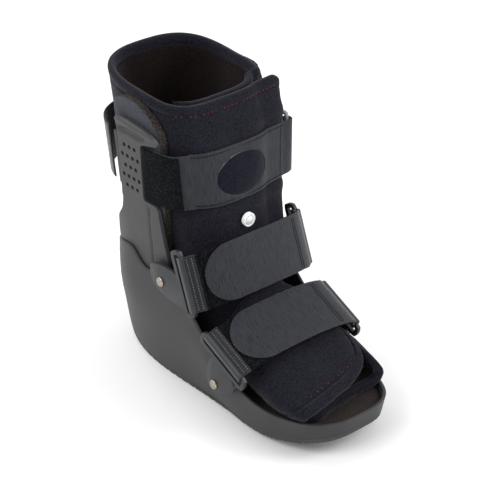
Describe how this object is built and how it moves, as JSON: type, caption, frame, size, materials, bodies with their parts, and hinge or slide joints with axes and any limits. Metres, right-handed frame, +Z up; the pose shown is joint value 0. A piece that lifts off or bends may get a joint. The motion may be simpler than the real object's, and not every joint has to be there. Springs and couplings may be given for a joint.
{
  "type": "medical walking boot",
  "caption": "Short walking boot: a padded cloth liner held by straps between two rigid uprights on a rocker sole, with a hand pump and an air valve in front.",
  "frame": {"origin": "on the floor, under the flat part of the tread and the boot's middle plane", "axes": "+Z up, the toe points along -Y, +X is the wearer's left"},
  "size_m": [0.1377, 0.2942, 0.28],
  "materials": {
    "shell": "matte moulded",
    "tread": "matte",
    "foam": "cut foam",
    "liner": "brushed loop cloth",
    "webbing": "ribbed webbing",
    "hook": "hook tape",
    "nickel": "satin",
    "ring": "satin",
    "valve": "satin"
  },
  "bodies": {
    "root": {"outsole": "tread", "footbed": "foam", "ankle_tab_left": "shell", "ankle_tab_right": "shell", "forefoot_tab_left": "shell", "forefoot_tab_right": "shell", "ankle_rivet_left": "nickel", "ankle_rivet_right": "nickel", "forefoot_rivet_left": "nickel", "forefoot_rivet_right": "nickel", "shell": "shell", "liner_boot": "liner", "calf_flap": "liner", "foot_flap": "liner", "pad_left": "foam", "pad_right": "foam", "upright_left": "shell", "upright_right": "shell", "calf_band": "webbing", "calf_strap": "webbing", "calf_hook": "hook", "calf_ring": "ring", "pump_dome": "liner", "air_valve": "valve", "ankle_strap_base": "webbing", "ankle_strap": "webbing", "forefoot_strap_base": "webbing", "forefoot_strap": "webbing"}
  },
  "joints": []
}
